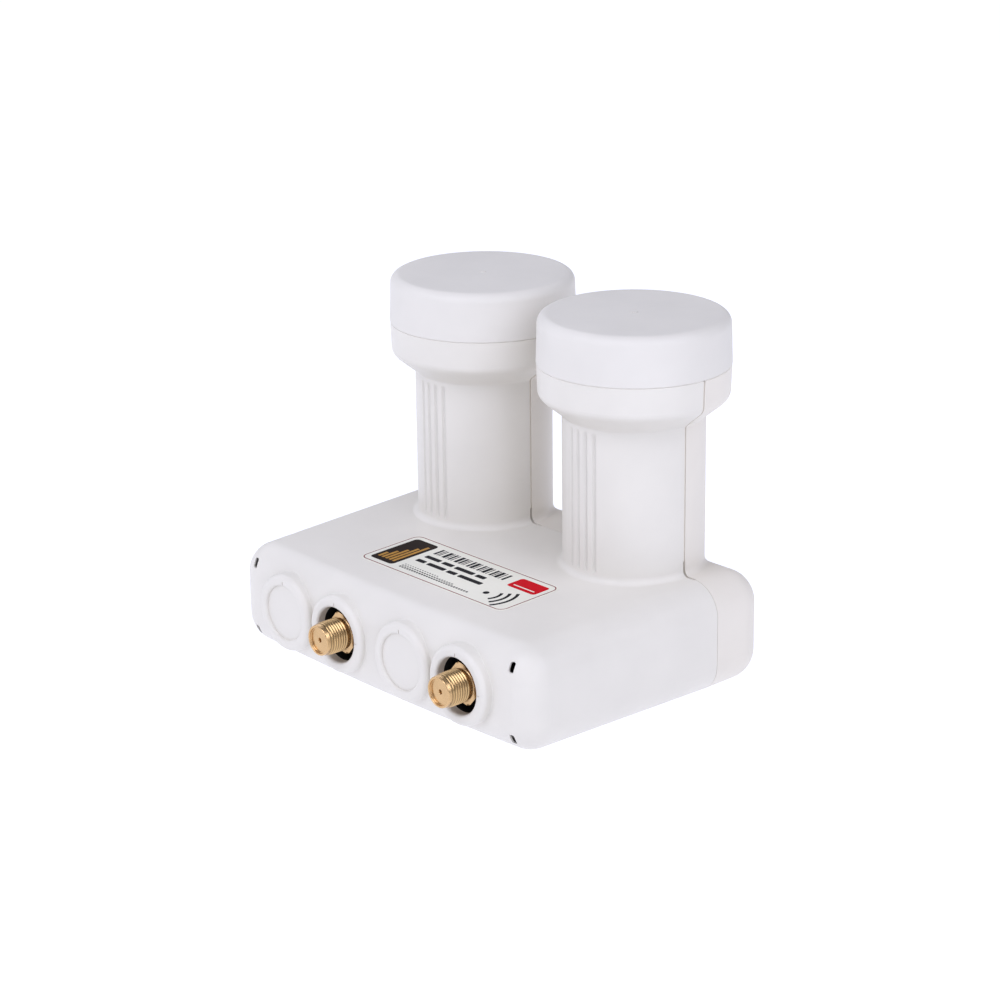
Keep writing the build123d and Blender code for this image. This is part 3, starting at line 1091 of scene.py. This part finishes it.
    def arc(self, radius: float) -> list[Flat]:
        """Arc round the dot.

        Args:
            radius: its radius.

        Returns:
            The spots along it.
        """
        x, y = self.arc_middle
        angles = [self.arc_half * (2 * i / self.arc_steps - 1) for i in range(self.arc_steps + 1)]
        return [(x + radius * math.cos(a), y + radius * math.sin(a)) for a in angles]

    def build(self) -> None:
        """Build the film, print it and put it in the place of the CAD node."""
        loops = [self.loop(self.whole(0.0), 0.0), self.loop(self.whole(0.0), self.film - self.rim),
                 self.loop(self.whole(self.rim), self.film)]
        for first, second in zip(loops, loops[1:]):
            self.draft.band(first, second, Ink.GROUND.value)
        self.draft.cover(loops[0], Ink.GROUND.value)
        self.draft.cover(loops[-1], Ink.GROUND.value)
        border_inner = self.whole(self.border_inset + self.border_width)
        self.stroke(self.whole(self.border_inset), border_inner, Ink.BORDER, True)
        for bar in self.pattern.bars():
            sides = (bar.left * MM, bar.right * MM, bar.bottom * MM, bar.top * MM, bar.corner * MM)
            self.slab(self.rounded(*sides), bar.ink, bar.layer)
        for radius in self.arc_radii:
            self.stroke(self.arc(radius), self.arc(radius - self.arc_width), Ink.DARK, False)
        x, y = self.arc_middle
        dot = self.dot_radius
        self.slab(self.rounded(x - dot, x + dot, y - dot, y + dot, dot), Ink.DARK, 1)
        finishes = [self.inks[ink] for ink in Ink]
        piece = mesh_object("printed_label", self.draft.mesh("printed_label", self.sharp), *finishes)
        stand_for(piece, LABEL_FILM.record_slot, "type_label")


@dataclass(frozen=True)
class FloorFinish:
    """The pale floor: a sheet with a glow of its own, so that shadows on it stay faint.

    Attributes:
        name: name of the material.
        colour: linear colour of the sheet.
        glow: strength of its own light.
    """

    name: str = "floor_white"
    colour: Colour = (0.2, 0.2, 0.2)
    glow: float = 1.085

    def material(self) -> bpy.types.Material:
        """Make the node material.

        Returns:
            The material.
        """
        made = bpy.data.materials.new(self.name)
        made.use_nodes = True
        shader = made.node_tree.nodes["Principled BSDF"]
        shader.inputs["Base Color"].default_value = (*self.colour, 1.0)
        shader.inputs["Roughness"].default_value = 1.0
        shader.inputs["Specular IOR Level"].default_value = 0.0
        shader.inputs["Emission Color"].default_value = (*LIGHT_TINT, 1.0)
        shader.inputs["Emission Strength"].default_value = self.glow
        return made


def bearing(azimuth: float, elevation: float) -> Vector:
    """Direction from the object.

    Args:
        azimuth: angle from the port side towards +X.
        elevation: angle above the floor.

    Returns:
        The direction, of length 1.
    """
    return Vector((math.sin(azimuth) * math.cos(elevation), -math.cos(azimuth) * math.cos(elevation),
                   math.sin(elevation)))


@dataclass(frozen=True)
class Softbox:
    """A square softbox that faces the object.

    Attributes:
        name: name of the light.
        azimuth: bearing in degrees from the port side towards +X.
        elevation: degrees above the floor.
        power: power in watts.
        size: side length.
        distance: distance from the object.
    """

    name: str
    azimuth: float
    elevation: float
    power: float
    size: float = 0.8
    distance: float = 1.25

    def build(self) -> None:
        """Hang the light."""
        data = bpy.data.lights.new(self.name, "AREA")
        data.energy = self.power
        data.color = LIGHT_TINT
        data.size = self.size
        light = bpy.data.objects.new(self.name, data)
        light.location = bearing(math.radians(self.azimuth), math.radians(self.elevation)) * self.distance
        light.rotation_euler = (light.location - AIM).to_track_quat("Z", "Y").to_euler()
        bpy.context.scene.collection.objects.link(light)


@dataclass
class Studio:
    """Floor, light and camera.

    Attributes:
        azimuth: bearing of the camera, from the port side towards +X.
        elevation: its angle above the floor.
        roll: turn about its axis.
        distance: distance from its target.
        target: spot that it looks at.
        lens: focal length in millimetres.
        sensor: width of its sensor in millimetres.
        clip_start: nearest distance that it sees.
        floor_size: side length of the floor.
        horizon: strength of the light from the horizon.
        wall: strength above the haze.
        zenith: strength from straight above.
        haze_height: sine of the angle up to which the horizon's light reaches.
        wall_height: sine of the angle at which it has faded.
        softboxes: the lights.
    """

    azimuth: float = math.radians(48.32)
    elevation: float = math.radians(18.92)
    roll: float = math.radians(-0.74)
    distance: float = 846.0 * MM
    target: tuple[float, float, float] = (-24.9 * MM, 0.0, 35.69 * MM)
    lens: float = 103.286
    sensor: float = 36.0
    clip_start: float = 10.0 * MM
    floor_size: float = 12.0
    horizon: float = 1.05
    wall: float = 0.32
    zenith: float = 0.285
    haze_height: float = 0.03
    wall_height: float = 0.12
    softboxes: tuple[Softbox, ...] = (
        Softbox("front_softbox", 0.0, 40.0, 6.4), Softbox("right_softbox", 100.0, 40.0, 5.4),
        Softbox("left_softbox", -100.0, 40.0, 3.1), Softbox("top_softbox", 30.0, 65.0, 4.2, 0.9, 1.4),
        Softbox("low_right_softbox", 60.0, 15.0, 1.9, distance=1.2),
        Softbox("low_left_softbox", -60.0, 15.0, 1.8, distance=1.2))

    def camera(self) -> None:
        """Set the camera at the photograph's angle."""
        data = bpy.data.cameras.new("camera")
        data.lens = self.lens
        data.sensor_width = self.sensor
        data.sensor_fit = "HORIZONTAL"
        data.clip_start = self.clip_start
        back = bearing(self.azimuth, self.elevation)
        flat = Vector((math.cos(self.azimuth), math.sin(self.azimuth), 0.0))
        tall = back.cross(flat)
        right = flat * math.cos(self.roll) + tall * math.sin(self.roll)
        up = tall * math.cos(self.roll) - flat * math.sin(self.roll)
        pose = Matrix((right, up, back)).transposed().to_4x4()
        pose.translation = Vector(self.target) + back * self.distance
        camera = bpy.data.objects.new("camera", data)
        camera.matrix_world = pose
        bpy.context.scene.collection.objects.link(camera)
        bpy.context.scene.camera = camera

    def floor(self) -> None:
        """Lay the pale floor."""
        half = self.floor_size / 2
        mesh = bpy.data.meshes.new("floor")
        corners = [(-half, -half, 0), (half, -half, 0), (half, half, 0), (-half, half, 0)]
        mesh.from_pydata(corners, [], [tuple(range(len(corners)))])
        mesh.materials.append(FloorFinish().material())
        sheet = bpy.data.objects.new("floor", mesh)
        bpy.context.scene.collection.objects.link(sheet)

    def sky(self) -> None:
        """Surround the set with soft light, weaker from straight above."""
        world = bpy.data.worlds.new("studio")
        world.use_nodes = True
        tree = world.node_tree
        ray = tree.nodes.new("ShaderNodeTexCoord").outputs["Generated"]
        height = tree.nodes.new("ShaderNodeSeparateXYZ")
        tree.links.new(ray, height.inputs["Vector"])
        ramp = tree.nodes.new("ShaderNodeValToRGB")
        stops = ((0.0, self.horizon), (self.haze_height, self.horizon), (self.wall_height, self.wall),
                 (1.0, self.zenith))
        for position, _ in stops[1:-1]:
            ramp.color_ramp.elements.new(position)
        for element, (position, strength) in zip(ramp.color_ramp.elements, stops):
            element.position = position
            element.color = (*(strength * part for part in LIGHT_TINT), 1.0)
        tree.links.new(height.outputs["Z"], ramp.inputs["Fac"])
        tree.links.new(ramp.outputs["Color"], tree.nodes["Background"].inputs["Color"])
        bpy.context.scene.world = world

    def build(self) -> None:
        """Set up the whole studio."""
        self.camera()
        self.floor()
        self.sky()
        for softbox in self.softboxes:
            softbox.build()
        bpy.context.scene.view_settings.view_transform = "Standard"


def main() -> None:
    """Build the set piece by piece."""
    logging.basicConfig(level=logging.INFO, format="%(name)s: %(message)s")
    for part in (Housing(), InnerWorks(), Connector(Side.LEFT), Connector(Side.RIGHT), TypeLabel(), Studio()):
        part.build()
        LOG.info("%s done", type(part).__name__)


if __name__ == "__main__":
    main()
